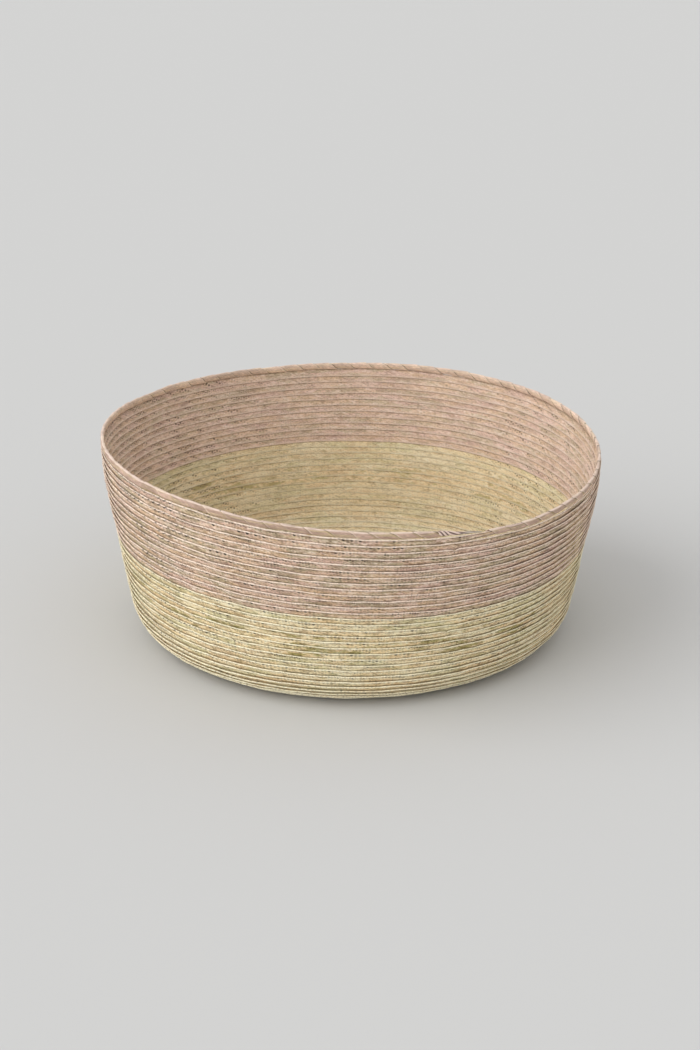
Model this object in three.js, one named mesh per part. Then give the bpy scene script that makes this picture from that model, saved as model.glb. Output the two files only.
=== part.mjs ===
// Round basket sewn from one narrow palm-leaf plait.
// The plait winds in a spiral: out across the flat base, round the heel and up a flared wall.
// Each round tucks inside the top edge of the round before it, as roof boards lap.
// The base and lower wall are natural leaf, the upper wall is dyed, and strips of dyed leaf
// are wound over the top round. Millimetres, +Z up, origin at the centre of the resting face.

import * as THREE from 'three';

// Overall form
const rimDiameter = 276;
const wallHeight = 107;
const heelRadius = 23;

// The wall flares outwards, and over its top eight rounds it bends until it stands nearly upright at the rim
const wallFlareDegrees = 10;
const rimFlareDegrees = 0.4;
const wallBendRadius = 168;

// The wall leans: its rim stands higher on one side, and the hand-sewn rim also waves twice round
const rimLean = 4.6;
const rimLeanAzimuthDegrees = 155;
const rimWave = 2.7;
const rimWaveCrestDegrees = 34;

// The plait and the way its rounds lap. Where the heel has turned, the laps stay tilted for two more rounds.
const roundPitch = 3.69;
const plaitWidth = 4.8;
const plaitThickness = 0.8;
const lapClearance = 0.3;
const baseEyeRadius = 0.6;
const baseWearDepth = 0.5;
const tiltKeptAfterOneRound = 0.7;
const tiltKeptAfterTwoRounds = 0.4;

// Where one length of plait gives way to the next, in rounds below the end of the spiral
const spiralEndAzimuthDegrees = -68;
const heelToLowWallRounds = 20.14;
const lowToHighWallRounds = 17.0;
const colourChangeRounds = 13.32;
const mauveSpliceRounds = 3.0;
const spliceClearance = 0.4;

// The top round is a narrow core inside strips of leaf that are wound over it
const rimCoreWidth = 2.2;
const rimCoreThickness = 1.2;
const rimCoreBlendLength = 31.4;
const rimTaperLength = 44;
const rimTaperShare = 0.45;
const rimEndClearance = 2.5;
const wrapPitch = 10.9;
const wrapWidth = 8.5;
const wrapThickness = 0.35;
const wrapClearance = 0.3;
const wrapStripCount = 4;

// Facets: stations in one turn of the wall. The rim has more of them, and the middle of the base fewer.
const wallStations = 28;
const rimStations = 3 * wallStations;
const innerBaseStations = wallStations / 2;
const innerBaseRadius = 45;

// Colours
const naturalLeaf = 0xcdbb8c;
const paleNaturalLeaf = 0xd4c49a;
const greenNaturalLeaf = 0xc0b585;
const mauveLeaf = 0xb59a8c;
const darkMauveLeaf = 0xab9084;
const rimLeaf = 0xb9a196;
const plaitRoughness = 0.8;
const rimRoughness = 0.6;

const flare = THREE.MathUtils.degToRad(wallFlareDegrees);
const rimFlare = THREE.MathUtils.degToRad(rimFlareDegrees);
const fullTurn = 2 * Math.PI;

// Profile of the outer surface, from the centre of the base: flat, the heel's arc, the wall and its bend
const heelArc = heelRadius * (Math.PI / 2 - flare);
const heelRise = heelRadius * (1 - Math.sin(flare));
const heelReach = heelRadius * Math.cos(flare);
const wallBend = flare - rimFlare;
const bendRise = wallBendRadius * (Math.sin(flare) - Math.sin(rimFlare));
const bendReach = wallBendRadius * (Math.cos(rimFlare) - Math.cos(flare));
const straightLength = (wallHeight - heelRise - bendRise) / Math.cos(flare);
const heelCentreRadius = rimDiameter / 2 - bendReach - straightLength * Math.sin(flare) - heelReach;
const bendStart = heelCentreRadius + heelArc + straightLength;
const profileLength = bendStart + wallBendRadius * wallBend;
const rimRoundLength = Math.PI * rimDiameter;

// How far the profile has turned in the heel and in the bend of the wall, at a distance from the centre
function heelTurn(distance) {
  return THREE.MathUtils.clamp((distance - heelCentreRadius) / heelRadius, 0, Math.PI / 2 - flare);
}

function bendTurn(distance) {
  return THREE.MathUtils.clamp((distance - bendStart) / wallBendRadius, 0, wallBend);
}

// The angle of the profile at a distance from the centre: 0 on the base, nearly upright at the rim
function profileAngle(distance) {
  return heelTurn(distance) + bendTurn(distance);
}

// Radius and height of the profile at a distance from the centre
function profilePoint(distance) {
  const onBase = Math.min(distance, heelCentreRadius);
  const inHeel = heelTurn(distance);
  const onWall = THREE.MathUtils.clamp(distance - heelCentreRadius - heelArc, 0, straightLength);
  const inBend = flare - bendTurn(distance);
  const aboveRim = Math.max(distance - profileLength, 0);
  const heelOut = heelRadius * Math.sin(inHeel);
  const bendOut = wallBendRadius * (Math.cos(inBend) - Math.cos(flare));
  const heelUp = heelRadius * (1 - Math.cos(inHeel));
  const bendUp = wallBendRadius * (Math.sin(flare) - Math.sin(inBend));
  return {
    radius: onBase + heelOut + onWall * Math.sin(flare) + bendOut + aboveRim * Math.sin(rimFlare),
    height: heelUp + onWall * Math.cos(flare) + bendUp + aboveRim * Math.cos(rimFlare),
  };
}

// The lean and wave of the rim grow evenly from the floor to the rim
function leanedHeight(height, azimuth) {
  const lean = rimLean * Math.cos(azimuth - THREE.MathUtils.degToRad(rimLeanAzimuthDegrees));
  const wave = rimWave * Math.cos(2 * (azimuth - THREE.MathUtils.degToRad(rimWaveCrestDegrees)));
  return height * (1 + (lean + wave) / wallHeight);
}

// Rounds are counted back from the end of the spiral, whose edge stands half a round above the mean rim
function distanceAt(rounds) {
  return profileLength - roundPitch * (rounds - 0.5);
}

function roundsAt(distance) {
  return (profileLength - distance) / roundPitch + 0.5;
}

function azimuthAt(rounds) {
  return THREE.MathUtils.degToRad(spiralEndAzimuthDegrees) - fullTurn * rounds;
}

// A point given along the profile and out from it, at one place on the spiral
function placePoint(rounds, along, outward) {
  const distance = distanceAt(rounds);
  const angle = profileAngle(distance);
  const { radius, height } = profilePoint(distance);
  const azimuth = azimuthAt(rounds);
  const r = radius + along * Math.cos(angle) + outward * Math.sin(angle);
  const z = height + along * Math.sin(angle) - outward * Math.cos(angle);
  return new THREE.Vector3(r * Math.cos(azimuth), r * Math.sin(azimuth), leanedHeight(z, azimuth));
}

// How far the profile turns from one round to the next, and the extra tilt that keeps the laps clear there
function turnSinceLastRound(distance) {
  return profileAngle(distance) - profileAngle(distance - roundPitch);
}

const lapAngle = Math.asin((plaitThickness + lapClearance) / roundPitch);

function lapTilt(distance) {
  const here = turnSinceLastRound(distance);
  const oneBelow = turnSinceLastRound(distance - roundPitch) * tiltKeptAfterOneRound;
  const twoBelow = turnSinceLastRound(distance - 2 * roundPitch) * tiltKeptAfterTwoRounds;
  return lapAngle + Math.max(here, oneBelow, twoBelow);
}

// Section of a lapped round: its leading edge lies on the profile and its tail runs behind the round before
function lappedSection(distance) {
  const tilt = lapTilt(distance);
  const tail = { along: -plaitWidth * Math.cos(tilt), outward: -plaitWidth * Math.sin(tilt) };
  const inner = { along: plaitThickness * Math.sin(tilt), outward: -plaitThickness * Math.cos(tilt) };
  return [
    { along: 0, outward: 0 },
    tail,
    { along: tail.along + inner.along, outward: tail.outward + inner.outward },
    inner,
  ];
}

// On the base the leading edge is worn flat, so that the basket stands on flat leaf
function wornSection(distance) {
  const [lead, tail, tailTop, leadTop] = lappedSection(distance);
  const wornLength = baseWearDepth / Math.tan(lapTilt(distance));
  const wornLead = baseWearDepth * Math.tan(lapTilt(distance));
  return [
    { along: lead.along + wornLead, outward: 0 },
    { along: lead.along - wornLength, outward: 0 },
    { along: tail.along, outward: tail.outward + baseWearDepth },
    { along: tailTop.along, outward: tailTop.outward + baseWearDepth },
    { along: leadTop.along, outward: leadTop.outward + baseWearDepth },
  ];
}

// The core of the top round stands upright over the edge of the round below, with room for the strips between
const lapWallDepth = plaitWidth * Math.sin(lapAngle) + plaitThickness * Math.cos(lapAngle);
const rimCoreMiddle = -lapWallDepth / 2;
const wrapDepth = wrapClearance + wrapThickness;
const rimCoreFoot = plaitThickness * Math.sin(lapAngle) + wrapClearance + wrapDepth - roundPitch;

function rimTaper(rounds) {
  const share = THREE.MathUtils.clamp(rounds * rimRoundLength / rimTaperLength, 0, 1);
  return THREE.MathUtils.lerp(rimTaperShare, 1, share);
}

function rimCoreSection(rounds) {
  const foot = rimCoreFoot;
  const top = foot + rimCoreWidth * rimTaper(rounds);
  const outer = rimCoreMiddle + rimCoreThickness / 2;
  const inner = rimCoreMiddle - rimCoreThickness / 2;
  return [
    { along: top, outward: outer },
    { along: foot, outward: outer },
    { along: foot, outward: inner },
    { along: top, outward: inner },
  ];
}

// The top length of plait is lapped up to the last round, where it narrows into the core
function topLengthSection(rounds) {
  const lapped = lappedSection(distanceAt(rounds));
  const core = rimCoreSection(rounds);
  const roundsBeforeCore = (rounds - 1) * rimRoundLength / rimCoreBlendLength;
  const share = THREE.MathUtils.clamp(1 - roundsBeforeCore, 0, 1);
  return lapped.map((corner, index) => ({
    along: THREE.MathUtils.lerp(corner.along, core[index].along, share),
    outward: THREE.MathUtils.lerp(corner.outward, core[index].outward, share),
  }));
}

// A ring of points at one place on the spiral. Between stations it lies on the chord, so that every
// round has its corners at the same azimuths and the clearance between laps stays even.
function ringAt(rounds, sectionAt, stations) {
  const station = rounds * stations;
  const before = Math.floor(station);
  const share = station - before;
  const ringOf = (index) => sectionAt(index / stations)
    .map((corner) => placePoint(index / stations, corner.along, corner.outward));
  const next = ringOf(before + 1);
  return ringOf(before).map((point, index) => point.lerp(next[index], share));
}

// A closed body from rings of points, each ring in the same order, with a flat cap on each end
function loftRings(rings) {
  const count = rings[0].length;
  const positions = rings.flat().flatMap((point) => [point.x, point.y, point.z]);
  const indices = [];
  for (let ring = 0; ring < rings.length - 1; ring += 1) {
    for (let corner = 0; corner < count; corner += 1) {
      const a = ring * count + corner;
      const b = ring * count + (corner + 1) % count;
      indices.push(a, b, a + count);
      indices.push(b, b + count, a + count);
    }
  }
  const last = (rings.length - 1) * count;
  for (let corner = 1; corner < count - 1; corner += 1) {
    indices.push(0, corner + 1, corner);
    indices.push(last, last + corner, last + corner + 1);
  }
  const geometry = new THREE.BufferGeometry();
  geometry.setAttribute('position', new THREE.Float32BufferAttribute(positions, 3));
  geometry.setIndex(indices);
  geometry.computeVertexNormals();
  return geometry;
}

// A length of plait from one place on the spiral up to another, its stations in order
function plaitGeometry(fromRounds, toRounds, sectionAt, stationsAt) {
  const places = [fromRounds];
  let stations = stationsAt(fromRounds);
  let index = Math.ceil(fromRounds * stations) - 1;
  while (index / stations > toRounds) {
    places.push(index / stations);
    const wanted = stationsAt(index / stations);
    if (wanted !== stations) {
      index = Math.round(index * wanted / stations);
      stations = wanted;
    }
    index -= 1;
  }
  places.push(toRounds);
  const rings = places.map((rounds) => ringAt(rounds, sectionAt, stationsAt(rounds)));
  return loftRings(rings);
}

const stationsOnWall = () => wallStations;
const stationsOnBase = (rounds) => (distanceAt(rounds) < innerBaseRadius ? innerBaseStations : wallStations);
const stationsOnTop = (rounds) => (rounds < 1 + 1 / wallStations ? rimStations : wallStations);

const parts = new THREE.Group();

function addPart(name, geometry, color, roughness) {
  const material = new THREE.MeshStandardMaterial({ color, roughness, metalness: 0 });
  const mesh = new THREE.Mesh(geometry, material);
  mesh.name = name;
  parts.add(mesh);
}

// A splice is a gap in rounds, worked out from its clearance at the radius where it lies
function spliceRounds(rounds) {
  const { radius } = profilePoint(distanceAt(rounds));
  return spliceClearance / (fullTurn * radius);
}

const baseStartRounds = roundsAt(baseEyeRadius + plaitWidth * Math.cos(lapAngle));
const baseEndRounds = Math.ceil(roundsAt(heelCentreRadius) * wallStations) / wallStations;

// Natural plait of the flat base
addPart(
  'base_plait',
  plaitGeometry(baseStartRounds, baseEndRounds, (rounds) => wornSection(distanceAt(rounds)), stationsOnBase),
  naturalLeaf,
  plaitRoughness,
);

// Lapped lengths up the heel and wall, each from its lower splice to its upper one
const lappedLengths = [
  {
    name: 'heel_plait',
    from: baseEndRounds,
    to: heelToLowWallRounds,
    color: paleNaturalLeaf,
  },
  {
    name: 'natural_wall_plait_low',
    from: heelToLowWallRounds,
    to: lowToHighWallRounds,
    color: greenNaturalLeaf,
  },
  {
    name: 'natural_wall_plait_high',
    from: lowToHighWallRounds,
    to: colourChangeRounds,
    color: naturalLeaf,
  },
  {
    name: 'mauve_plait_low',
    from: colourChangeRounds,
    to: mauveSpliceRounds,
    color: mauveLeaf,
  },
];

for (const { name, from, to, color } of lappedLengths) {
  const start = from - spliceRounds(from);
  addPart(
    name,
    plaitGeometry(start, to, (rounds) => lappedSection(distanceAt(rounds)), stationsOnWall),
    color,
    plaitRoughness,
  );
}

// Dyed plait up to the end of the spiral, with the core of the top round
const topStart = mauveSpliceRounds - spliceRounds(mauveSpliceRounds);
const topEnd = rimEndClearance / rimRoundLength;
addPart(
  'mauve_plait_high',
  plaitGeometry(topStart, topEnd, topLengthSection, stationsOnTop),
  darkMauveLeaf,
  plaitRoughness,
);

// A corner of the wound strip, held off the core by the clearance or by the clearance and its own thickness
const coreCornerSigns = [[1, 1], [-1, 1], [-1, -1], [1, -1]];

function wrapPoint(rounds, corner, offset) {
  const [alongSign, outwardSign] = coreCornerSigns[corner];
  const shifted = (place) => rimCoreSection(place).map((point) => ({
    along: point.along + alongSign * offset,
    outward: point.outward + outwardSign * offset,
  }));
  return ringAt(rounds, shifted, rimStations)[corner];
}

// The strips follow one another round the rim, and each has the same number of wraps
const wrapEdge = wrapWidth / 2 / rimRoundLength;
const wrapStart = 1 - wrapEdge;
const wrapEnd = topEnd + wrapEdge;
const wrapsPerStrip = Math.round((wrapStart - wrapEnd) * rimRoundLength / wrapPitch / wrapStripCount);
const cornersPerStrip = 4 * wrapsPerStrip;
const wrapCornerStep = (wrapStart - wrapEnd) / (cornersPerStrip * wrapStripCount);

// One strip of leaf wound over the core: at each corner of the core it shows both faces and both edges
function wrapGeometry(firstCorner, cornerCount) {
  const rings = [];
  for (let step = 0; step <= cornerCount; step += 1) {
    const index = firstCorner + step;
    const corner = index % 4;
    const middle = wrapStart - index * wrapCornerStep;
    rings.push([
      wrapPoint(middle + wrapEdge, corner, wrapClearance),
      wrapPoint(middle - wrapEdge, corner, wrapClearance),
      wrapPoint(middle - wrapEdge, corner, wrapDepth),
      wrapPoint(middle + wrapEdge, corner, wrapDepth),
    ]);
  }
  return loftRings(rings);
}

for (let strip = 0; strip < wrapStripCount; strip += 1) {
  addPart(
    `rim_wrap_${strip + 1}`,
    wrapGeometry(strip * cornersPerStrip, cornersPerStrip - 1),
    rimLeaf,
    rimRoughness,
  );
}

export default parts;
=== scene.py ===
# Round basket sewn from one narrow plait of palm leaf, natural below and dyed a dusty mauve above.
# Sizes are in metres, except where a comment says millimetres.
import math

import bpy
import numpy as np
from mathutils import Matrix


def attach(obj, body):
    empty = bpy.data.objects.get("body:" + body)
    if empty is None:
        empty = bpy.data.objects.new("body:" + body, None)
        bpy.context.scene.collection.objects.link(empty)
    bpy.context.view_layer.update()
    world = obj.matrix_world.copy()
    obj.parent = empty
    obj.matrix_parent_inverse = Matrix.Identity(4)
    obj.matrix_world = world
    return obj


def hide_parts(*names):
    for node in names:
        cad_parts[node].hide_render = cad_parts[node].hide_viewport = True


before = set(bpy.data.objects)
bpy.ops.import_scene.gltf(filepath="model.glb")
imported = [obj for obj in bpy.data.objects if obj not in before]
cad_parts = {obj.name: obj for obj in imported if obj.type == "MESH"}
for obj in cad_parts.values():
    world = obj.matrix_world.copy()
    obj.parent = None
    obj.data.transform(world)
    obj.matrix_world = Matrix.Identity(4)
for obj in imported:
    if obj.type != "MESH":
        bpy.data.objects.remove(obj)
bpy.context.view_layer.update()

# The base
# A flat plait of palm leaf starts at the eye and winds outwards, and each round tucks in above the
# edge of the round before it and is sewn there. The underside of the base is worn flat.

rim_radius = 0.138
wall_height = 0.107
heel_radius = 0.023
wall_flare = math.radians(10)
rim_flare = math.radians(0.4)
wall_bend_radius = 0.168
heel_arc = heel_radius * (math.pi / 2 - wall_flare)
heel_rise = heel_radius * (1 - math.sin(wall_flare))
bend_rise = wall_bend_radius * (math.sin(wall_flare) - math.sin(rim_flare))
bend_reach = wall_bend_radius * (math.cos(rim_flare) - math.cos(wall_flare))
straight_length = (wall_height - heel_rise - bend_rise) / math.cos(wall_flare)
wall_reach = bend_reach + straight_length * math.sin(wall_flare)
heel_centre_radius = rim_radius - wall_reach - heel_radius * math.cos(wall_flare)
bend_start = heel_centre_radius + heel_arc + straight_length
profile_length = bend_start + wall_bend_radius * (wall_flare - rim_flare)

rim_lean = 0.0046
rim_lean_azimuth = math.radians(155)
rim_wave = 0.0027
rim_wave_crest = math.radians(34)

round_pitch = 0.00369
plait_width = 0.0048
plait_thickness = 0.0008
lap_clearance = 0.0003
lap_angle = math.asin((plait_thickness + lap_clearance) / round_pitch)
base_wear = 0.0005
base_eye_radius = 0.0006
spiral_end_azimuth = math.radians(-68)


def heel_turn(distance):
    """How far the outer surface has turned up in the heel."""
    return np.clip((distance - heel_centre_radius) / heel_radius, 0, math.pi / 2 - wall_flare)


def bend_turn(distance):
    """How far it has turned on from there, where the wall bends upright below the rim."""
    return np.clip((distance - bend_start) / wall_bend_radius, 0, wall_flare - rim_flare)


def profile_angle(distance):
    """Slope of the outer surface at a distance from the eye: 0 on the base, nearly upright at the rim."""
    return heel_turn(distance) + bend_turn(distance)


def profile_point(distance):
    """Radius and height of the outer surface at a distance from the eye."""
    in_heel = heel_turn(distance)
    on_wall = np.clip(distance - heel_centre_radius - heel_arc, 0, straight_length)
    in_bend = wall_flare - bend_turn(distance)
    above_rim = np.maximum(distance - profile_length, 0)
    radius = np.minimum(distance, heel_centre_radius) + heel_radius * np.sin(in_heel)
    radius = radius + on_wall * math.sin(wall_flare) + above_rim * math.sin(rim_flare)
    radius = radius + wall_bend_radius * (np.cos(in_bend) - math.cos(wall_flare))
    height = heel_radius * (1 - np.cos(in_heel)) + on_wall * math.cos(wall_flare)
    height = height + above_rim * math.cos(rim_flare)
    height = height + wall_bend_radius * (math.sin(wall_flare) - np.sin(in_bend))
    return radius, height


def distance_at(rounds):
    """Distance from the eye, for rounds counted back from the end of the spiral."""
    return profile_length - round_pitch * (rounds - 0.5)


def rounds_at(distance):
    return (profile_length - distance) / round_pitch + 0.5


def azimuth_at(rounds):
    return spiral_end_azimuth - 2 * math.pi * rounds


def place(rounds, along, outward):
    """Points that lie along and out from the profile at places on the spiral, with the lean of the rim."""
    distance = distance_at(rounds)
    angle = profile_angle(distance)
    radius, height = profile_point(distance)
    azimuth = azimuth_at(rounds)
    reach = radius + along * np.cos(angle) + outward * np.sin(angle)
    level = height + along * np.sin(angle) - outward * np.cos(angle)
    lean = rim_lean * np.cos(azimuth - rim_lean_azimuth)
    lean = lean + rim_wave * np.cos(2 * (azimuth - rim_wave_crest))
    level = level * (1 + lean / wall_height)
    return np.stack([reach * np.cos(azimuth), reach * np.sin(azimuth), level], axis=-1)


def turn_since_last_round(distance):
    return profile_angle(distance) - profile_angle(distance - round_pitch)


# A round tilts by the largest of these shares of its own turn and of the turns of the two before it.
tilt_shares = [1.0, 0.7, 0.4]


def lap_tilt(distance):
    """Tilt of a round against the profile. It stays larger for two rounds after the heel has turned."""
    turned = [
        share * turn_since_last_round(distance - below * round_pitch)
        for below, share in enumerate(tilt_shares)
    ]
    return lap_angle + np.maximum.reduce(turned)


# Hand-sewn rounds are never quite even. These slow waves run on from round to round, so neighbours
# nearly agree. Each is (waves to a round, millimetres, phase), and outwards a share of it is left.
sway_waves = [
    (7.06, 0.10, 0.4),
    (11.09, 0.08, 2.1),
    (18.08, 0.07, 4.0),
    (31.12, 0.06, 1.2),
    (53.15, 0.04, 5.3),
]
outward_sway_share = 0.6
outward_sway_shift = 1.7


def sway(rounds, shift=0.0):
    """How far a round strays, in millimetres, at a place on the spiral."""
    turned = 2 * math.pi * rounds
    return sum(size * np.sin(count * turned + phase + shift * count) for count, size, phase in sway_waves)


def outward_sway(rounds):
    return outward_sway_share * sway(rounds, outward_sway_shift)


# Points round the section of the plait, in millimetres: behind the leading edge, and deep under the outer
# face. The rest of each row is how far along its slant a strand has come there, how much the weave stands
# out (minus on the inner face), and where the surface is a folded edge, painted pale for wear and as a
# highlight, the groove beside it or deep in the lap, where shade is painted. The tail is thin and lies
# close on the round before, and its folded edge shows inside.
plait_section = np.array([
    [4.40, -0.26, -4.80, 0.0, 0.00, 0.0, 0.0],
    [4.00, -0.18, -2.40, 0.0, 0.00, 0.0, 1.0],
    [3.60, -0.14, 0.00, 0.3, 0.00, 0.0, 0.3],
    [3.10, -0.10, -0.52, 1.0, 0.00, 0.0, 0.0],
    [2.40, 0.02, -1.22, 1.0, 0.00, 0.0, 0.0],
    [1.85, 0.06, -1.77, 1.0, 0.00, 0.1, 0.0],
    [1.40, 0.22, -2.22, 1.0, 0.00, 0.8, 0.0],
    [1.02, 0.38, -2.60, 1.0, 0.00, 1.0, 0.0],
    [0.70, 0.30, -2.92, 0.9, 0.10, 0.9, 0.0],
    [0.44, -0.02, -3.18, 0.6, 1.00, 0.2, 0.0],
    [0.10, -0.14, -3.52, 0.5, 1.00, 0.0, 0.0],
    [-0.12, -0.02, -3.80, 0.4, 1.00, 0.0, 0.0],
    [-0.18, 0.26, -4.10, 0.3, 1.00, 0.0, 0.0],
    [-0.06, 0.54, -4.45, 0.1, 0.90, 0.0, 0.0],
    [0.30, 0.68, -4.90, 0.0, 0.10, 0.0, 1.0],
    [0.95, 0.70, -5.55, -0.6, 0.00, 1.0, 0.0],
    [1.70, 0.66, -6.30, -1.0, 0.00, 0.8, 0.0],
    [2.50, 0.58, -7.10, -1.0, 0.00, 0.8, 0.0],
    [3.20, 0.46, -7.80, -1.0, 0.00, 0.4, 0.0],
    [3.85, 0.40, -8.45, -1.0, 0.25, 0.0, 0.0],
    [4.40, 0.24, -9.00, -0.7, 1.00, 0.0, 0.0],
    [4.76, -0.02, -9.40, -0.2, 1.00, 0.0, 0.0],
    [4.84, -0.26, -7.10, 0.0, 0.30, 0.0, 0.0],
])
mm = 0.001
strand_pitch = 0.0036
strand_slant = 2.2
strand_columns = [0.0, 0.10, 0.55, 0.80]
crossing_column = strand_columns[2]
spare_strands = 20
fine_steps = 90
settle_length = 0.055
tight_reach = 0.030
tuck_length = 0.004

# Forms of the plait, in millimetres.
strand_crown = 0.09
strand_arch = 0.08
first_crossing = -2.54
notch_depth = 0.55
leading_reach = 1.6
tuck_back = 1.5
tuck_in = 0.25

# How unevenly it was plaited: widths as a share of the pitch, and the rest in millimetres.
width_drift = 0.16
width_spread = 0.08
width_limits = (0.6, 1.5)
lift_spread = 0.04
stray_spread = 0.05
stray_drift = 0.12
loose_drift = 0.08

# Where the plait is slack. Crossings stand open most at one azimuth. Upper edges part from the rounds
# above by shares of a depth in millimetres, the larger share on the right and the smaller on both sides.
# The last three are in millimetres too: they bring the tail inwards on both sides, deepen the groove on
# the right and lift the folded edge there.
most_open_azimuth = math.radians(205)
most_open_share = 0.35
parting_right = 0.62
parting_sides = 0.36
parting_depth = 0.22
side_depth = 0.22
groove_depth = 0.10
edge_rise = 0.12

bake_margin = 0.0012


def bake_rows(run, total_run, total_across):
    """Lays the face of a long narrow plait out in rows that fill a square map, with room for its ends."""
    spare = 3 * total_across
    row_height = total_across + bake_margin
    rows = math.ceil(math.sqrt((total_run + spare) / row_height))
    row_length = (total_run + spare) / rows
    row = np.minimum(np.floor(run / row_length), rows - 1)
    return row, row_length, rows, row_height


def swept_mesh(name, points, fields, run, across):
    """A closed mesh from rings of points. Fields are kept at its points, and its baking map is in rows."""
    columns, ring = points.shape[:2]
    index = np.arange(columns * ring).reshape(columns, ring)
    here = index[:-1]
    ahead = index[1:]
    sides = np.stack([here, np.roll(here, -1, 1), np.roll(ahead, -1, 1), ahead], -1).reshape(-1, 4)
    mesh = bpy.data.meshes.new(name)
    faces = sides.tolist() + [index[0, ::-1].tolist(), index[-1].tolist()]
    mesh.from_pydata(points.reshape(-1, 3).tolist(), [], faces)
    mesh.polygons.foreach_set("use_smooth", np.ones(len(faces), bool))
    for field, values in fields.items():
        layer = mesh.attributes.new(field, "FLOAT", "POINT")
        everywhere = np.broadcast_to(values, (columns, ring))
        layer.data.foreach_set("value", everywhere.astype(np.float32).ravel())
    row, row_length, rows, row_height = bake_rows(run[:-1], run[-1], across[-1])
    left = (run[:-1] - row * row_length) / row_length
    right = (run[1:] - row * row_length) / row_length
    low = (row[:, None] * row_height + across[None, :-1]) / (rows * row_height)
    high = (row[:, None] * row_height + across[None, 1:]) / (rows * row_height)
    left = np.broadcast_to(left[:, None], low.shape)
    right = np.broadcast_to(np.minimum(right, 1)[:, None], low.shape)
    corners = np.stack([left, low, left, high, right, high, right, low], -1).reshape(-1, 2)
    cap_size = across[-1] / (2 * row_length)
    cap_level = 1 - 0.5 / rows
    turn = np.linspace(0, 2 * math.pi, ring, endpoint=False)
    cap = np.stack([np.cos(turn), np.sin(turn)], -1) * np.array([cap_size, 0.3 / rows])
    caps = [cap[::-1] + [1 - 4 * cap_size, cap_level], cap + [1 - 2 * cap_size, cap_level]]
    layer = mesh.uv_layers.new(name="OFBake")
    layer.data.foreach_set("uv", np.concatenate([corners] + caps).astype(np.float32).ravel())
    mesh.update()
    return mesh


def set_out(name, data):
    """Puts a finished mesh, lamp or camera in the scene under its name."""
    made = bpy.data.objects.new(name, data)
    bpy.context.scene.collection.objects.link(made)
    return made


def drift(rng, size, count, over):
    """Random numbers in a row, each close to the ones beside it."""
    return np.convolve(rng.normal(0, size, count + over - 1), np.ones(over) / over ** 0.5, "valid")


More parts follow.
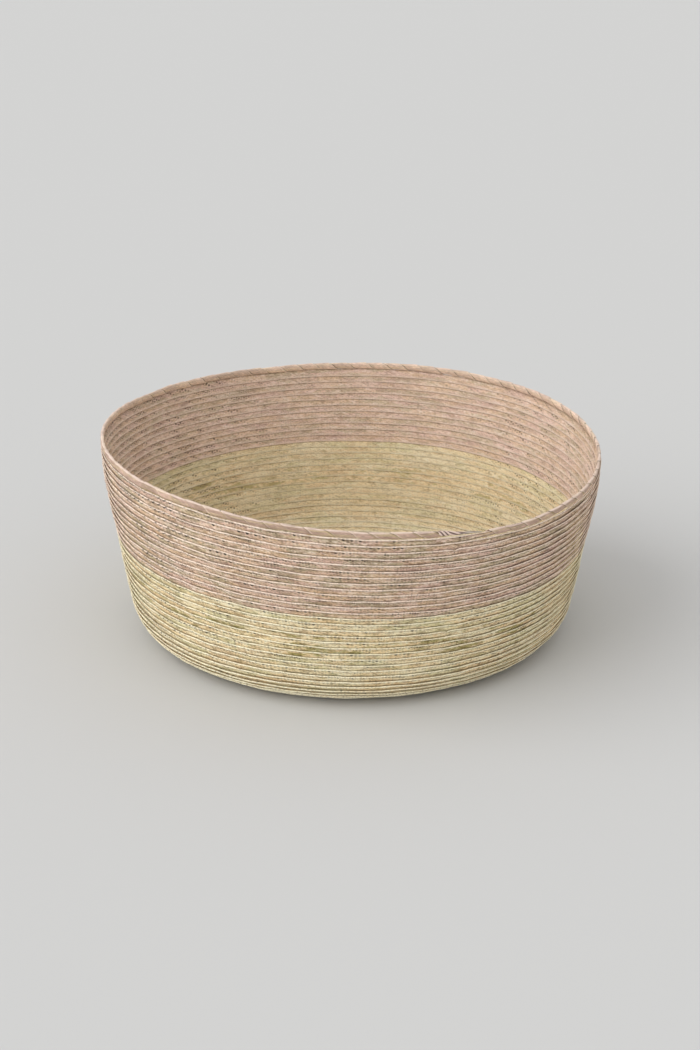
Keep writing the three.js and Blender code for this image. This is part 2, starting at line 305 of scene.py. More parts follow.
def plait_piece(name, first, last, seed, snug=0.26, top_round=None):
    """One length of plait from its lower end up to its upper end, in rounds below the end of the spiral.
    Snug is how much flatter its tail is pressed, in millimetres, and top_round reshapes the last round."""
    rng = np.random.default_rng(seed)
    fine = np.linspace(first, last, int((first - last) * fine_steps) + 2)
    radius = profile_point(distance_at(fine))[0]
    steps = 2 * math.pi * (radius[:-1] + radius[1:]) / 2 * -np.diff(fine)
    fine_run = np.concatenate([[0], np.cumsum(steps)])
    strands = round(fine_run[-1] / strand_pitch)
    uneven = drift(rng, width_drift, strands, 16)
    widths = np.clip(1 + rng.normal(0, width_spread, strands) + uneven, *width_limits)
    starts = np.concatenate([[0], np.cumsum(widths)]) * fine_run[-1] / np.sum(widths)
    pitch = fine_run[-1] / strands

    # Each strand has four columns of points, and its own chances.
    phase = np.append(np.tile(strand_columns, strands), 0)
    number = np.append(np.repeat(np.arange(strands), len(strand_columns)), strands)
    run = np.interp(number + phase, np.arange(strands + 1), starts)
    lift = rng.normal(0, lift_spread, strands + 1)[number]
    stray = rng.normal(0, stray_spread, strands + 1)[number]
    stray = stray + drift(rng, stray_drift, strands + 1, 6)[number]
    loose = drift(rng, loose_drift, strands + 1, 5)[number]
    azimuth = azimuth_at(np.interp(run, fine_run, fine))
    on_left = np.clip(np.cos(azimuth - most_open_azimuth), 0, 1)
    opening = np.clip(rng.uniform(0, 1, strands + 1)[number] + most_open_share * on_left, 0, 1)
    notch = np.clip(3 * opening - 2.0, 0, 1) * (phase == crossing_column)

    # Strands lean across the plait, less so at its ends and near the eye. Falling and rising count them.
    from_end = np.minimum(run, run[-1] - run)
    settle = np.clip(from_end / min(settle_length, run[-1] / 2), 0, 1)
    settle = settle * settle * (3 - 2 * settle)
    near_eye = np.clip(np.interp(run, fine_run, radius) / tight_reach, 0.15, 1)
    lean = strand_slant * settle * near_eye
    behind, depth, slant, weave, fold, groove, deep = (column[None, :] for column in plait_section.T)
    outer = weave > 0
    inner = weave < 0
    folded = fold > 0.7
    sheared = run[:, None] + slant * mm * lean[:, None]
    crossed = (slant - first_crossing) * mm * (strand_slant * near_eye)[:, None]
    spare = np.arange(1, spare_strands)
    counts = np.concatenate([-spare[::-1], np.arange(strands + 1), strands + spare])
    places = np.concatenate([-spare[::-1] * pitch, starts, starts[-1] + spare * pitch])
    falling = np.interp(sheared - crossed, places, counts) + spare_strands
    rising = np.interp(sheared + crossed, places, counts) + spare_strands
    rounds = np.interp(np.clip(sheared, 0, run[-1]), fine_run, fine)

    # The ends are tucked in, the folded edge arches over each strand, and strands stand out as they cross.
    tucked = np.clip(1 - from_end / tuck_length, 0, 1)[:, None] ** 2
    leading = np.clip(1 - behind / leading_reach, 0, 1)
    behind = behind - (strand_arch * np.sin(math.pi * phase))[:, None] * folded
    behind = behind + stray[:, None] * leading + tuck_back * tucked * leading
    crown = strand_crown * np.abs(np.sin(math.pi * falling) * np.sin(math.pi * rising))
    relief = (crown - strand_crown / 2 + lift[:, None]) * weave
    pit = notch_depth * notch[:, None] * groove * outer
    tail = np.clip(behind / 2 - 1.4, 0, 1)

    # Pinholes lie along the grooves, where the shade in holes is painted. The laps stand open on the right,
    # and inside on both sides, where more shade is painted in grooves and laps.
    on_right = (np.clip(np.cos(azimuth), 0, 1) ** 2)[:, None]
    on_sides = (np.cos(azimuth) ** 2)[:, None]
    pinholes = np.clip((groove - 0.3) / 0.4, 0, 1) * np.where(inner, np.clip(2 * on_sides, 0, 1), 1)
    wide_open = np.clip((on_left[:, None] - 0.7) / 0.25, 0, 1)
    pinholes = np.maximum(pinholes, wide_open * folded * outer * (depth < 0))
    # Painted shade: inside, the grooves are painted dark only on the sides, and the next field strengthens
    # the painted groove shade on the right outside and on both sides inside.
    groove = np.where(inner, 0.5 * groove * on_sides ** np.where(behind > 1.5, 3, 1), groove)
    side_shade = np.where(inner, on_sides, on_right)
    depth = depth + on_right * (groove_depth * groove * outer - edge_rise * folded * leading)
    parting = np.maximum(parting_right * on_right, parting_sides * on_sides ** 2)
    top_edge = (slant < -4.0) & (slant > -6.0)
    depth = depth - parting_depth * parting * top_edge * (depth > 0.4)
    # Where the laps part, the top edge is painted with shade in place of its pale fold.
    deep = np.where(top_edge, np.maximum(deep, 1.6 * parting), deep)
    fold = np.where(top_edge, fold * (1 - 0.9 * parting), fold)
    depth = depth + side_depth * on_sides * tail - snug * tail * inner
    depth = depth - relief + pit + tuck_in * tucked * leading
    depth = depth + loose[:, None] * (leading ** 2 + 0.8 * tail)

    # Each round tilts so far that its tail lies inside the edge of the round before. The base is worn flat.
    tilt = lap_tilt(distance_at(rounds))
    along = (-behind * np.cos(tilt) + depth * np.sin(tilt) + sway(rounds)) * mm
    outward = (-behind * np.sin(tilt) - depth * np.cos(tilt) + outward_sway(rounds)) * mm
    if top_round is not None:
        along, outward = top_round(rounds, behind, depth, along, outward)
    worn = np.clip((heel_centre_radius + 2 * round_pitch - distance_at(rounds)) / round_pitch, 0, 1)
    outward = outward + base_wear * worn
    flat = profile_angle(distance_at(rounds)) < 0.02
    outward = np.where(flat, np.minimum(outward, 0), outward)
    points = place(rounds, along, outward)
    points[..., 2] = np.maximum(points[..., 2], 0)

    ring = plait_section[:, :2] * mm
    ring_steps = np.linalg.norm(np.roll(ring, -1, 0) - ring, axis=1)
    across = np.concatenate([[0], np.cumsum(ring_steps)])
    fields = {
        "falling": falling,
        "rising": rising,
        "run": sheared,
        "climb": distance_at(rounds) - behind * mm,
        "fold": fold,
        "groove": groove,
        "deep": deep,
        "inner": inner * 1.0,
        "opening": opening[:, None],
        "side_shade": side_shade,
        "pinholes": pinholes,
    }
    return set_out(name, swept_mesh(name, points, fields, run, across))


def linear(rgb):
    """A colour picked in 0-255 screen values, as the shader's linear colour."""
    share = np.array(rgb) / 255
    value = np.where(share <= 0.04045, share / 12.92, ((share + 0.055) / 1.055) ** 2.4)
    return (*value.tolist(), 1)


class Shader:
    """Short calls that add nodes to one material."""

    def __init__(self, name):
        self.material = bpy.data.materials.new(name)
        self.material.use_nodes = True
        self.tree = self.material.node_tree
        self.surface = self.tree.nodes["Principled BSDF"]

    def node(self, kind, inputs, **settings):
        made = self.tree.nodes.new(kind)
        for key, value in settings.items():
            setattr(made, key, value)
        for key, value in inputs.items():
            self.set(made.inputs[key], value)
        return made

    def set(self, socket, value):
        if isinstance(value, bpy.types.NodeSocket):
            self.tree.links.new(value, socket)
        else:
            socket.default_value = value

    def field(self, name):
        return self.node("ShaderNodeAttribute", {}, attribute_name=name).outputs["Fac"]

    def math(self, operation, a, b=0.0):
        return self.node("ShaderNodeMath", {0: a, 1: b}, operation=operation).outputs[0]

    def times(self, first, *others):
        for other in others:
            first = self.math("MULTIPLY", first, other)
        return first

    def spread(self, value, low, high, to_low=0.0, to_high=1.0):
        inputs = {"Value": value, "From Min": low, "From Max": high, "To Min": to_low, "To Max": to_high}
        return self.node("ShaderNodeMapRange", inputs, interpolation_type="SMOOTHSTEP").outputs["Result"]

    def vary(self, noise, at_low, at_high):
        """A value that follows a noise, most of which lies between 0.3 and 0.7."""
        return self.spread(noise, 0.3, 0.7, at_low, at_high)

    def vector(self, x, y, z=0.0):
        return self.node("ShaderNodeCombineXYZ", {"X": x, "Y": y, "Z": z}).outputs["Vector"]

    def noise(self, vector, scale, detail=2.0):
        inputs = {"Vector": vector, "Scale": scale, "Detail": detail}
        return self.node("ShaderNodeTexNoise", inputs).outputs["Fac"]

    def chance(self, number):
        """A random share between 0 and 1 that stays the same for one number."""
        return self.node("ShaderNodeTexWhiteNoise", {"W": number}, noise_dimensions="1D").outputs["Value"]

    def either(self, switch, a, b):
        """The first value where the switch is 0, and the second where it is 1."""
        return self.math("ADD", a, self.times(switch, self.math("SUBTRACT", b, a)))

    def crown_of(self, coordinate, sharpness):
        """1 along the middle of a strand, falling to 0 at its two edges, which lie at whole numbers."""
        from_middle = self.math("ABSOLUTE", self.math("SUBTRACT", self.math("FRACT", coordinate), 0.5))
        return self.math("SUBTRACT", 1.0, self.math("POWER", self.times(from_middle, 2.0), sharpness))

    def mix(self, share, a, b, blend="MIX"):
        made = self.node("ShaderNodeMix", {}, data_type="RGBA", blend_type=blend)
        self.set(made.inputs["Factor"], share)
        self.set(made.inputs["A"], a)
        self.set(made.inputs["B"], b)
        return made.outputs["Result"]

    def shaded(self, colour, light):
        return self.mix(1.0, colour, self.vector(light, light, light), "MULTIPLY")


# Painted shade seen in the holes at crossings.
hole_shade = linear((46, 33, 24))
patch_blur = 0.06
strand_blur = 0.04


def leaf_material(name, seed, ground, patches, strands, edge, shade, inside_shade):
    """Woven palm leaf: strands that fall to the right cross strands that rise, and each shows in every
    second diamond. Patches are (colour, length, height, how common, how strong) and take in several
    strands and rounds. Strands are (colour, how common, how strong) and tint one strand each. Edge is
    the colour of lighter marks and of folds, which are worn pale and painted with a highlight; shade is
    that of darker marks and of the shade painted in grooves and laps; and the last argument darkens and
    tints the inner side as painted shade."""
    s = Shader(name)
    falling = s.field("falling")
    rising = s.field("rising")
    run = s.field("run")
    climb = s.field("climb")
    fold = s.field("fold")
    groove = s.field("groove")
    deep = s.field("deep")
    inner = s.field("inner")
    opening = s.field("opening")
    side_shade = s.field("side_shade")
    pinholes = s.field("pinholes")
    falling_number = s.math("FLOOR", falling)
    rising_number = s.math("FLOOR", rising)
    rising_on_top = s.math("MODULO", s.math("ADD", falling_number, rising_number), 2.0)
    number = s.either(rising_on_top, falling_number, s.math("ADD", rising_number, 7919.0))
    across = s.either(rising_on_top, falling, rising)
    lengthwise = s.either(rising_on_top, rising, falling)
    where = s.node("ShaderNodeTexCoord", {}).outputs["Object"]
    split = s.node("ShaderNodeSeparateXYZ", {"Vector": where})
    ragged = s.spread(s.chance(s.math("ADD", number, seed * 7.0)), 0.0, 1.0, -0.035, 0.035)

    colour = ground
    for order, (tint, length, high, common, strong) in enumerate(patches):
        x = s.math("DIVIDE", split.outputs["X"], length)
        y = s.math("DIVIDE", split.outputs["Y"], length)
        z = s.math("ADD", s.math("DIVIDE", climb, high), seed + 7.3 * order)
        level = s.math("ADD", s.noise(s.vector(x, y, z), 1.0, 2.5), ragged)
        border = 0.66 - 0.3 * common
        share = s.spread(level, border - patch_blur, border + patch_blur, 0.0, strong)
        colour = s.mix(share, colour, tint)
    for order, (tint, common, strong) in enumerate(strands):
        pick = s.chance(s.math("ADD", number, seed * 31.0 + 517.0 * order))
        share = s.spread(pick, 1 - common - strand_blur, 1 - common + strand_blur, 0.0, strong)
        colour = s.mix(share, colour, tint)

    def streaks(length, high, shift):
        """Light and dark marks drawn out along the plait."""
        x = s.math("DIVIDE", run, length)
        y = s.math("DIVIDE", climb, high)
        return s.noise(s.vector(x, y, seed + shift), 1.0, 2.0)

    # Light and dark from diamond to diamond and strand to strand, in fibres and dashes, and in streaks, and
    # painted shade that darkens each strand towards its edges and ends, where it dives under the next.
    diamond = s.math("ADD", s.times(falling_number, 13.0), s.times(rising_number, 131.0))
    diamond_light = s.spread(s.chance(s.math("ADD", diamond, seed)), 0.0, 1.0, 0.84, 1.16)
    dark_or_light = s.chance(s.math("ADD", number, seed * 53.0 + 91.0))
    strand_light = s.spread(dark_or_light, 0.0, 1.0, 0.90, 1.10)
    fibres = s.noise(s.vector(s.times(across, 3.6), s.times(lengthwise, 1.1), seed), 1.0, 3.0)
    fibre_light = s.vary(fibres, 0.82, 1.18)
    dashes = s.noise(s.vector(s.times(falling, 1.7), s.times(rising, 0.7), seed + 40.0), 1.0, 2.0)
    dash_light = s.vary(dashes, 0.70, 1.28)
    grain = streaks(0.0012, 0.0006, 0.0)
    grain_light = s.vary(grain, 0.80, 1.20)
    bits_light = s.vary(streaks(0.0050, 0.0012, 3.0), 0.78, 1.20)
    blotch_light = s.vary(streaks(0.0160, 0.0040, 6.0), 0.76, 1.20)
    # Painted shade: strands darken towards their edges and ends, where they dive under.
    crown = s.math("MINIMUM", s.crown_of(across, 3.0), s.crown_of(lengthwise, 5.0))
    crown_painted_shade = s.spread(crown, 0.0, 0.8, 0.92, 1.05)
    texture = s.times(diamond_light, strand_light, fibre_light, dash_light)
    texture = s.times(texture, grain_light, bits_light, crown_painted_shade, blotch_light)
    softer = s.spread(inner, 0.0, 1.0, 1.0, 0.9)
    texture = s.times(softer, s.math("SUBTRACT", texture, 1.0))
    colour = s.mix(s.times(texture, -1.1), colour, shade)
    colour = s.mix(s.times(texture, 0.9), colour, edge)

    # Folded edges are worn pale and painted with a highlight, unevenly, and shade is painted in grooves and
    # laps, more where the laps stand open.
    stretch = s.noise(s.vector(s.math("DIVIDE", run, 0.009), climb, seed + 2.0), 1.0, 3.0)
    tuck = s.chance(s.math("ADD", falling_number, seed * 3.0))
    worn_pale_and_highlight = s.times(fold, s.vary(stretch, 1.0, 0.85), s.spread(tuck, 0.0, 1.0, 0.80, 1.0))
    colour = s.mix(worn_pale_and_highlight, colour, s.shaded(edge, s.vary(grain, 0.90, 1.04)))
    groove_shade_strength = s.math("ADD", s.spread(stretch, 0.35, 0.65, 0.14, 0.46), s.times(side_shade, 0.05))
    colour = s.mix(s.times(groove, groove_shade_strength), colour, shade)
    colour = s.mix(s.times(deep, 0.5), colour, shade)

    # At a crossing the shade in a hole is painted as a dark spot, small where the strands are tight and
    # larger where they stand open.
    to_falling = s.math("SUBTRACT", falling, s.math("ROUND", falling))
    to_rising = s.math("SUBTRACT", rising, s.math("ROUND", rising))
    beside = s.math("ABSOLUTE", s.times(s.math("ADD", to_falling, to_rising), 3.8))
    above = s.math("ABSOLUTE", s.times(s.math("SUBTRACT", to_falling, to_rising), 1.9))
    to_crossing = s.math("SQRT", s.math("ADD", s.times(beside, beside), s.times(above, above)))
    reach = s.spread(opening, 0.60, 0.95, 0.9, 1.5)
    gap = s.spread(s.math("DIVIDE", to_crossing, reach), 0.5, 1.3, 1.0, 0.0)
    open_hole = s.spread(opening, 0.50, 0.98, 0.08, 1.0)
    small_hole = s.times(s.spread(inner, 0.0, 1.0, 0.45, 0.30), s.chance(s.math("ADD", diamond, 77.0)))
    hole = s.times(gap, s.math("MAXIMUM", s.times(pinholes, open_hole), small_hole))
    colour = s.mix(hole, colour, hole_shade)
    # The inner side gets less contrast and is darkened and tinted by painted shade.
    colour = s.mix(s.times(inner, 0.25), colour, s.shaded(ground, 0.84))
    colour = s.mix(inner, colour, s.mix(1.0, colour, inside_shade, "MULTIPLY"))

    s.set(s.surface.inputs["Base Color"], colour)
    s.set(s.surface.inputs["Roughness"], s.spread(fibres, 0.2, 0.8, 0.60, 0.80))
    s.surface.inputs["Specular IOR Level"].default_value = 0.30
    height = s.math("ADD", s.times(crown, 0.5), s.math("ADD", s.times(fibres, 0.4), s.times(dashes, 1.0)))
    bump = s.node("ShaderNodeBump", {"Height": height, "Strength": 0.8, "Distance": 0.00022})
    s.set(s.surface.inputs["Normal"], bump.outputs["Normal"])
    return s.material


cream = linear((252, 240, 204))
straw = linear((232, 206, 150))
tan = linear((238, 206, 160))
olive = linear((166, 156, 84))
pale_green = linear((220, 216, 166))
pale_edge = linear((255, 248, 220))
brown_shade = linear((112, 88, 58))
# Painted shade that darkens and tints the inner side of the plait.
plain_inside_shade = (0.86, 0.86, 0.88, 1)

base_leaf = leaf_material(
    "base_leaf",
    3.0,
    linear((226, 196, 151)),
    [
        (tan, 0.040, 0.010, 0.6, 0.6),
        (straw, 0.030, 0.007, 0.5, 0.6),
        (pale_green, 0.030, 0.006, 0.25, 0.5),
    ],
    [(cream, 0.15, 0.25), (tan, 0.2, 0.3)],
    linear((244, 226, 190)),
    brown_shade,
    plain_inside_shade,
)
end_steps = 28
base_start_rounds = rounds_at(base_eye_radius + plait_width * math.cos(lap_angle))
base_end_rounds = math.ceil(rounds_at(heel_centre_radius) * end_steps) / end_steps
base_plait = plait_piece("base_plait_leaf", base_start_rounds, base_end_rounds, 11)
base_plait.data.materials.append(base_leaf)
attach(base_plait, "root")
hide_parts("base_plait")

# The heel
# The same natural plait turns up from the base to the wall in about ten rounds, each tilted a little
# more than the last. Its upper end was tucked in and sewn over where the next length begins.

splice_gap = 0.0004
heel_end_rounds = 20.14


def splice_rounds(rounds):
    """The gap at a splice, in rounds at the radius where it lies."""
    return splice_gap / (2 * math.pi * profile_point(distance_at(rounds))[0])


natural_leaf = leaf_material(
    "natural_leaf",
    7.0,
    linear((255, 232, 184)),
    [
        (cream, 0.030, 0.007, 0.5, 0.7),
        (tan, 0.024, 0.005, 0.4, 0.6),
        (pale_green, 0.028, 0.006, 0.40, 0.6),
    ],
    [(cream, 0.15, 0.3), (tan, 0.12, 0.3), (olive, 0.05, 0.4)],
    pale_edge,
    brown_shade,
    plain_inside_shade,
)
heel_start_rounds = base_end_rounds - splice_rounds(base_end_rounds)
heel_plait = plait_piece("heel_plait_leaf", heel_start_rounds, heel_end_rounds, 12)
heel_plait.data.materials.append(natural_leaf)
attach(heel_plait, "root")
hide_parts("heel_plait")

# The natural wall
# Two lengths of the same plait carry the wall up to the colour change, each round sewn above the edge of
# the one before. The lower length holds the greenest leaf.

wall_splice_rounds = 17.0
colour_change_rounds = 13.32

green_leaf = leaf_material(
    "green_natural_leaf",
    13.0,
    linear((254, 229, 180)),
    [
        (cream, 0.026, 0.006, 0.4, 0.7),
        (tan, 0.026, 0.005, 0.45, 0.6),
        (olive, 0.020, 0.0045, 0.30, 0.85),
    ],
    [(pale_green, 0.2, 0.3), (tan, 0.12, 0.3), (olive, 0.07, 0.4)],
    pale_edge,
    brown_shade,
    plain_inside_shade,
)
low_start_rounds = heel_end_rounds - splice_rounds(heel_end_rounds)
low_wall = plait_piece("natural_wall_leaf_low", low_start_rounds, wall_splice_rounds, 13)
low_wall.data.materials.append(green_leaf)
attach(low_wall, "root")
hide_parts("natural_wall_plait_low")

high_start_rounds = wall_splice_rounds - splice_rounds(wall_splice_rounds)
high_wall = plait_piece("natural_wall_leaf_high", high_start_rounds, colour_change_rounds, 14)
high_wall.data.materials.append(natural_leaf)
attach(high_wall, "root")
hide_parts("natural_wall_plait_high")

# The mauve wall
# Leaf dyed before it was plaited. The dye took unevenly, so strands run from dusty mauve through pink and
# grey-green to nearly bare tan. In the last round the plait narrows into a core for the rim's strips.

mauve_splice_rounds = 3.0
rim_core_width = 0.0022
rim_core_thickness = 0.0006
rim_core_blend = 0.020
rim_taper_length = 0.012
rim_taper_share = 0.6
rim_end_clearance = 0.0025
rim_round_length = 2 * math.pi * rim_radius
wrap_gap = 0.00065
lap_wall_depth = plait_width * math.sin(lap_angle) + plait_thickness * math.cos(lap_angle)
rim_core_middle = -lap_wall_depth / 2
rim_core_foot = plait_thickness * math.sin(lap_angle) + lap_clearance + wrap_gap - round_pitch
bare_edge_rounds = 0.979


def rim_core_height(rounds):
    """Height of the core inside the rim's strips, which tapers towards the end of the spiral."""
    share = np.clip(rounds * rim_round_length / rim_taper_length, 0, 1)
    return rim_core_width * (rim_taper_share + (1 - rim_taper_share) * share)


def narrow_into_core(rounds, behind, depth, along, outward):
    share = np.clip(1 - (rounds - bare_edge_rounds) * rim_round_length / rim_core_blend, 0, 1)
    core_along = rim_core_foot + rim_core_height(rounds) * (1 - behind * mm / plait_width)
    core_outward = rim_core_middle + rim_core_thickness * (0.5 - depth * mm / plait_thickness)
    return along + share * (core_along - along), outward + share * (core_outward - outward)


rose = linear((240, 206, 190))
dusty_mauve = linear((214, 180, 162))
bare_tan = linear((234, 202, 158))
grey_green = linear((194, 182, 148))
brown_dye = linear((190, 152, 124))
mauve_edge = linear((255, 237, 220))
mauve_shade = linear((108, 80, 62))
# Painted shade that darkens and tints the inner side of the mauve plait, a little bluer.
greyed_inside_shade = (0.92, 0.92, 0.97, 1)

mauve_leaf = leaf_material(
    "mauve_leaf",
    21.0,
    linear((228, 198, 170)),
    [
        (rose, 0.026, 0.006, 0.5, 0.7),
        (dusty_mauve, 0.024, 0.005, 0.4, 0.8),
        (bare_tan, 0.022, 0.0045, 0.45, 0.6),
        (grey_green, 0.020, 0.004, 0.35, 0.7),
    ],
    [(bare_tan, 0.15, 0.2), (grey_green, 0.12, 0.25), (brown_dye, 0.08, 0.35), (rose, 0.15, 0.25)],
    mauve_edge,
    mauve_shade,
    greyed_inside_shade,
)
mauve_start_rounds = colour_change_rounds - splice_rounds(colour_change_rounds)
low_mauve = plait_piece("mauve_leaf_low", mauve_start_rounds, mauve_splice_rounds, 15, 0.0)
low_mauve.data.materials.append(mauve_leaf)
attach(low_mauve, "root")
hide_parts("mauve_plait_low")

top_start_rounds = mauve_splice_rounds - splice_rounds(mauve_splice_rounds)
top_end_rounds = rim_end_clearance / rim_round_length
high_mauve = plait_piece("mauve_leaf_high", top_start_rounds, top_end_rounds, 16, 0.0, narrow_into_core)
high_mauve.data.materials.append(mauve_leaf)
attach(high_mauve, "root")
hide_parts("mauve_plait_high")

# The rim strips
# Broad strips of dyed leaf are wound over the top round, each wrap lying a little over the one before.
# They cover the core and stop the sewn edge from fraying.

wrap_strips = 4
wraps_per_strip = 19
all_wraps = wraps_per_strip * wrap_strips
strip_half_width = 0.0058
last_wrap_rounds = 0.0093
wrap_start = bare_edge_rounds - strip_half_width / rim_round_length
wrap_end = last_wrap_rounds + strip_half_width / rim_round_length
wrap_lead = 0.35
wrap_step = (wrap_start - wrap_end) * rim_round_length / (all_wraps - 2.1 * wrap_lead)
strip_thickness = 0.0002
strip_lift = 0.00036
strip_shingle = 0.00020
strip_slew = 0.0010
strip_unevenness = 0.00016
strip_looseness = 0.00010
strip_squareness = 0.65
inner_foot_drop = 0.0007
inner_foot_reach = 0.0005
half_band_height = 0.0015
strip_across = np.array([-1.0, -0.98, -0.85, -0.5, 0.0, 0.5, 0.8, 0.9, 0.98, 1.0])
steps_per_wrap = 32

# The edge of each wrap that lies on top, its lip, is uneven. Its spare width changes every half turn.
widest_lip = 0.0018
half_turns = np.arange(-4, 2 * all_wraps + 8) / 2
lip_widths = np.random.default_rng(29).uniform(0, widest_lip, len(half_turns))


def squared(wave):
    """Turns a round path into one with flatter sides."""
    return np.sign(wave) * np.abs(wave) ** strip_squareness


def rim_strip(name, turns, half_width, seed):
    """A strip of leaf wound round the core, from its turns and its half width at each of them."""
    rng = np.random.default_rng(seed)
    whole = np.arange(math.floor(turns[0]), math.ceil(turns[-1]) + 2)
    high_or_low = np.interp(turns, whole, rng.normal(0, strip_unevenness, len(whole)))
    loose = np.interp(turns, whole + 0.4, rng.uniform(0, strip_looseness, len(whole)))
    lip_width = np.interp(turns, half_turns, lip_widths)
    next_lip = wrap_step - strip_half_width - np.interp(turns + 1, half_turns, lip_widths)
    angle = math.pi + 2 * math.pi * turns
    up = squared(np.cos(angle))
    out = squared(np.sin(angle))
    low_inside = np.clip(-up, 0, 1) * np.clip(-out, 0, 1)
    shares = np.concatenate([strip_across, strip_across[::-1]])
    on_top = np.repeat([1, 0], len(strip_across))
    layers = []
    levels = []
    for side, share in zip(on_top, shares):
        travelled = (turns - wrap_lead) * wrap_step + share * (half_width + lip_width * (share < 0))
        travelled = travelled - strip_slew * up * np.clip(1.5 * out, -1, 1)
        rounds = wrap_start - travelled / rim_round_length
        half_height = rim_core_height(rounds) / 2
        lift = strip_lift + loose - strip_shingle * share + side * strip_thickness * (1 - 0.6 * share ** 8)
        along = rim_core_foot + half_height + up * (half_height + lift) + high_or_low
        along = along - inner_foot_drop * low_inside + mm * sway(rounds)
        outward = rim_core_middle + out * (rim_core_thickness / 2 + lift)
        outward = outward + inner_foot_reach * low_inside + mm * outward_sway(rounds)
        layers.append(place(rounds, along, outward))
        levels.append(up * (half_height + lift) / half_band_height)
    points = np.stack(layers, 1)
    strip_run = np.concatenate([[0], np.cumsum(np.linalg.norm(np.diff(points[:, 4], axis=0), axis=1))])
    steps_across = np.abs(np.diff(np.append(shares, shares[0]))) + 0.02
    across = np.concatenate([[0], np.cumsum(steps_across)]) * strip_half_width
    azimuth = azimuth_at(wrap_start - turns * wrap_step / rim_round_length)
    fields = {
        "share": shares[None, :],
        "travel": strip_run[:, None],
        "turns": turns[:, None],
        "level": np.stack(levels, 1),
        "outside": out[:, None],
        "to_next_lip": 1000 * (next_lip[:, None] - strip_half_width * shares[None, :]),
        "along_rim": azimuth[:, None] * rim_radius + strip_half_width * shares[None, :],
    }
    return set_out(name, swept_mesh(name, points, fields, strip_run, across))


strip_mauve = linear((199, 168, 150))
strip_brown = linear((180, 151, 132))
strip_tan = linear((206, 184, 146))
strip_olive = linear((176, 158, 108))
strip_inside = linear((224, 203, 186))
pale_lip = linear((240, 220, 200))
crest_highlight = linear((232, 211, 196))
seam_shade = linear((84, 62, 44))


def strip_material(name):
    """Dyed leaf in wraps: its fibres run along the strip and its streaks along the rim. A shadow is painted
    under the lip of each next wrap, and a highlight is painted along the crest."""
    s = Shader(name)
    share = s.field("share")
    travel = s.field("travel")
    turns = s.field("turns")
    where = s.node("ShaderNodeTexCoord", {}).outputs["Object"]
    level = s.field("level")
    outside = s.field("outside")
    along_rim = s.field("along_rim")
    to_next_lip = s.field("to_next_lip")
    wrap = s.chance(s.math("FLOOR", turns))
    fibres = s.noise(s.vector(s.times(share, 9.0), s.times(travel, 90.0), 3.0), 1.0, 4.0)
    streak_place = s.vector(s.times(along_rim, 260.0), s.times(level, 3.2), s.times(wrap, 9.0))
    streaks = s.noise(streak_place, 1.0, 3.0)
    dabs = s.noise(s.vector(s.times(along_rim, 620.0), s.times(level, 4.0), 5.0), 1.0, 2.0)
    patches = s.noise(where, 90.0, 2.5)
    colour = s.mix(s.spread(patches, 0.42, 0.58), strip_mauve, strip_brown)
    tans = s.noise(s.vector(s.times(along_rim, 70.0), s.times(level, 1.1), 8.0), 1.0, 2.0)
    colour = s.mix(s.spread(tans, 0.50, 0.64, 0.0, 0.7), colour, strip_tan)
    covered = s.spread(to_next_lip, 0.0, 2.6, 1.0, 0.0)
    colour = s.mix(s.times(covered, s.spread(wrap, 0.2, 0.9, 0.1, 0.7)), colour, strip_olive)
    light = s.times(s.vary(fibres, 0.90, 1.10), s.spread(wrap, 0.0, 1.0, 0.90, 1.06))
    light = s.times(light, s.vary(streaks, 0.84, 1.16), s.vary(dabs, 0.88, 1.12))
    light = s.times(light, s.spread(outside, -0.8, 0.2, 1.10, 0.96))
    colour = s.mix(s.spread(outside, -0.8, 0.0, 0.50, 0.0), colour, strip_inside)
    colour = s.shaded(colour, light)
    lip = s.spread(share, -1.0, -0.80, 1.0, 0.0)
    colour = s.mix(s.times(lip, s.spread(wrap, 0.0, 1.0, 0.2, 0.7)), colour, pale_lip)
    # Painted highlight along the crest, where the strip goes over the top.
    crest_highlight_share = s.times(s.spread(level, 0.68, 0.94), s.vary(streaks, 0.45, 0.92), s.spread(outside, -0.7, 0.0))
    colour = s.mix(crest_highlight_share, colour, crest_highlight)
    # Painted shadow under the lip of the next wrap.
    tightness = s.noise(s.vector(s.times(travel, 130.0), 0.0, 12.0), 1.0, 1.0)
    under_lip_shadow = s.spread(to_next_lip, 0.15, 0.95, 1.0, 0.0)
    colour = s.mix(s.times(under_lip_shadow, s.spread(tightness, 0.35, 0.65, 0.20, 0.85)), colour, seam_shade)
    s.set(s.surface.inputs["Base Color"], colour)
    s.set(s.surface.inputs["Roughness"], s.spread(fibres, 0.2, 0.8, 0.5, 0.7))
    s.surface.inputs["Specular IOR Level"].default_value = 0.35
    bump = s.node("ShaderNodeBump", {"Height": fibres, "Strength": 0.6, "Distance": 0.00012})
    s.set(s.surface.inputs["Normal"], bump.outputs["Normal"])
    return s.material


strip_leaf = strip_material("rim_strip_leaf")
turns_between_strips = 0.05
narrowed_turns = 0.2
narrowed_share = 0.8
for strip in range(wrap_strips):
    first_turn = strip * wraps_per_strip
    last_turn = first_turn + wraps_per_strip - turns_between_strips
    turns = np.linspace(first_turn, last_turn, wraps_per_strip * steps_per_wrap)
    from_strip_end = np.minimum(turns - first_turn, last_turn - turns)
    ends = np.clip(from_strip_end / narrowed_turns, narrowed_share, 1)
    wrap = rim_strip(f"rim_strip_{strip + 1}", turns, strip_half_width * ends, 30 + strip)
    wrap.data.materials.append(strip_leaf)
    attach(wrap, "root")
    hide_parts(f"rim_wrap_{strip + 1}")

# The end of the rim
# Past the last wrap the ends of the strands are twisted together, narrow down to a point and are tucked in
# over the edge of the round below.

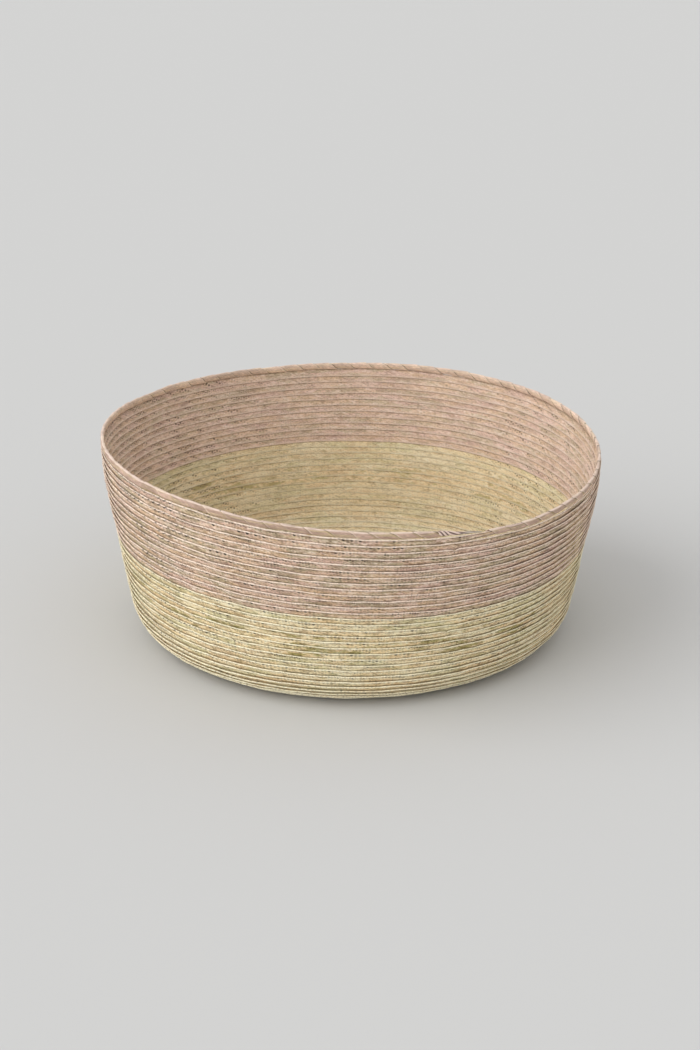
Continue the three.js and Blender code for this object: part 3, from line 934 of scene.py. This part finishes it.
# Stations along the twist, in millimetres, and its form at each: half its height, half its depth, the
# height of its middle (minus below the edge of the round), and how many turns it has been twisted.
twist_along = np.array([-1.5, 0.5, 5.0, 11.2, 12.4, 17.5, 22.0, 24.0])
twist_half_height = np.array([1.30, 1.62, 1.30, 0.86, 0.80, 0.56, 0.30, 0.10])
twist_half_depth = np.array([0.70, 0.92, 0.82, 0.62, 0.60, 0.45, 0.30, 0.10])
twist_middle = np.array([-1.50, -1.50, -1.86, -2.42, -2.50, -2.86, -3.16, -3.30])
twist_turned = np.array([-0.25, 0.0, 0.62, 0.95, 1.00, 1.25, 1.45, 1.52])
twist_strands = 3
twist_steps = 170
twist_sides = 30
twist_girth = 0.008
hole_along = 11.4
hole_facing = math.radians(118)

travel = np.linspace(twist_along[0], twist_along[-1], twist_steps)
around = np.linspace(0, 2 * math.pi, twist_sides, endpoint=False)
tall = np.interp(travel, twist_along, twist_half_height)[:, None]
deep = np.interp(travel, twist_along, twist_half_depth)[:, None]
middle = np.interp(travel, twist_along, twist_middle)[:, None]
turned = np.interp(travel, twist_along, twist_turned)[:, None] * 2 * math.pi
lobe = np.abs(np.cos(twist_strands / 2 * (around[None, :] - turned)))
fullness = 0.70 + 0.32 * lobe ** 0.6
twist_rounds = last_wrap_rounds - travel[:, None] * mm / rim_round_length
twist_up = middle + tall * np.cos(around) * fullness + sway(twist_rounds)
twist_out = rim_core_middle * 1000 + deep * np.sin(around) * fullness + outward_sway(twist_rounds)
twist_points = place(twist_rounds, twist_up * mm, twist_out * mm)
facing = np.abs((around[None, :] - hole_facing) / 0.6)
hole = np.clip(1 - np.hypot((travel[:, None] - hole_along) / 1.9, facing / 1.5), 0, 1)
twist_fields = {
    "groove": np.clip(2.0 * (1 - lobe / 0.70), 0, 1),
    "travel": travel[:, None],
    "lobe": lobe,
    "hole": hole,
}
twist_run = (travel - travel[0]) * mm
twist_across = np.linspace(0, twist_girth, len(around) + 1)
twist = set_out("rim_twist", swept_mesh("rim_twist", twist_points, twist_fields, twist_run, twist_across))

twist_mauve = linear((224, 196, 184))
twist_grey = linear((190, 178, 164))
twist_highlight = linear((240, 226, 210))
twist_shade = linear((60, 40, 34))


def twist_material(name):
    """Dyed leaf twisted into a cord, greyer towards its tip, with a painted highlight on its strands and
    painted shade between them and in the hole.
    """
    s = Shader(name)
    travel = s.field("travel")
    lobe = s.field("lobe")
    fibres = s.noise(s.vector(s.times(travel, 0.5), s.times(lobe, 7.0), 5.0), 1.0, 3.0)
    colour = s.mix(s.spread(travel, 9.0, 16.0), twist_mauve, twist_grey)
    colour = s.shaded(colour, s.vary(fibres, 0.88, 1.1))
    # Painted highlight on the crowns of the strands.
    colour = s.mix(s.times(s.spread(lobe, 0.72, 1.0), 0.5), colour, twist_highlight)
    # Painted shade between the strands and in the hole where they meet.
    in_hole = s.spread(s.field("hole"), 0.1, 0.6, 0.0, 0.95)
    dark = s.math("MAXIMUM", s.times(s.field("groove"), 0.92), in_hole)
    colour = s.mix(dark, colour, twist_shade)
    s.set(s.surface.inputs["Base Color"], colour)
    s.surface.inputs["Roughness"].default_value = 0.65
    s.surface.inputs["Specular IOR Level"].default_value = 0.3
    return s.material


twist.data.materials.append(twist_material("twisted_end_leaf"))
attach(twist, "root")
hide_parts("rim_wrap_4")

# Floor, light and camera
# A plain pale floor, a broad soft lamp on the left, a weak one in front, even light from all round, and a
# camera with a long lens that looks down on the basket from the front.

floor_half_size = 12.0
corner_signs = [(-1, -1), (1, -1), (1, 1), (-1, 1)]
floor_corners = [(floor_half_size * x, floor_half_size * y, 0) for x, y in corner_signs]
floor_mesh = bpy.data.meshes.new("floor")
floor_mesh.from_pydata(floor_corners, [], [(0, 1, 2, 3)])
floor = set_out("floor", floor_mesh)
floor_paint = Shader("pale_floor")
floor_paint.surface.inputs["Base Color"].default_value = linear((204, 204, 203))
floor_paint.surface.inputs["Roughness"].default_value = 0.9
floor_paint.surface.inputs["Specular IOR Level"].default_value = 0.1
floor_mesh.materials.append(floor_paint.material)


def soft_lamp(name, energy, spread, tilt, turn):
    """A far lamp of a broad spread, in degrees, tilted off the vertical and turned round it."""
    data = bpy.data.lights.new(name, "SUN")
    data.energy = energy
    data.angle = math.radians(spread)
    lamp = set_out(name, data)
    lamp.rotation_euler = (math.radians(tilt), 0, math.radians(turn))


soft_lamp("window", energy=1.66, spread=70, tilt=60, turn=-72)
soft_lamp("front_fill", energy=0.36, spread=90, tilt=50, turn=0)

world = bpy.data.worlds.new("room")
world.use_nodes = True
world.node_tree.nodes["Background"].inputs["Color"].default_value = (1.0, 1.0, 1.0, 1)
world.node_tree.nodes["Background"].inputs["Strength"].default_value = 0.74
bpy.context.scene.world = world

camera_data = bpy.data.cameras.new("camera")
camera_data.sensor_fit = "VERTICAL"
camera_data.sensor_height = 36.0
camera_data.lens = 68.43
camera = set_out("camera", camera_data)
camera.location = (-0.00072, -1.04557, 0.47244)
camera.rotation_euler = (math.radians(68.22), 0, 0)
bpy.context.scene.camera = camera
bpy.context.scene.view_settings.view_transform = "Standard"
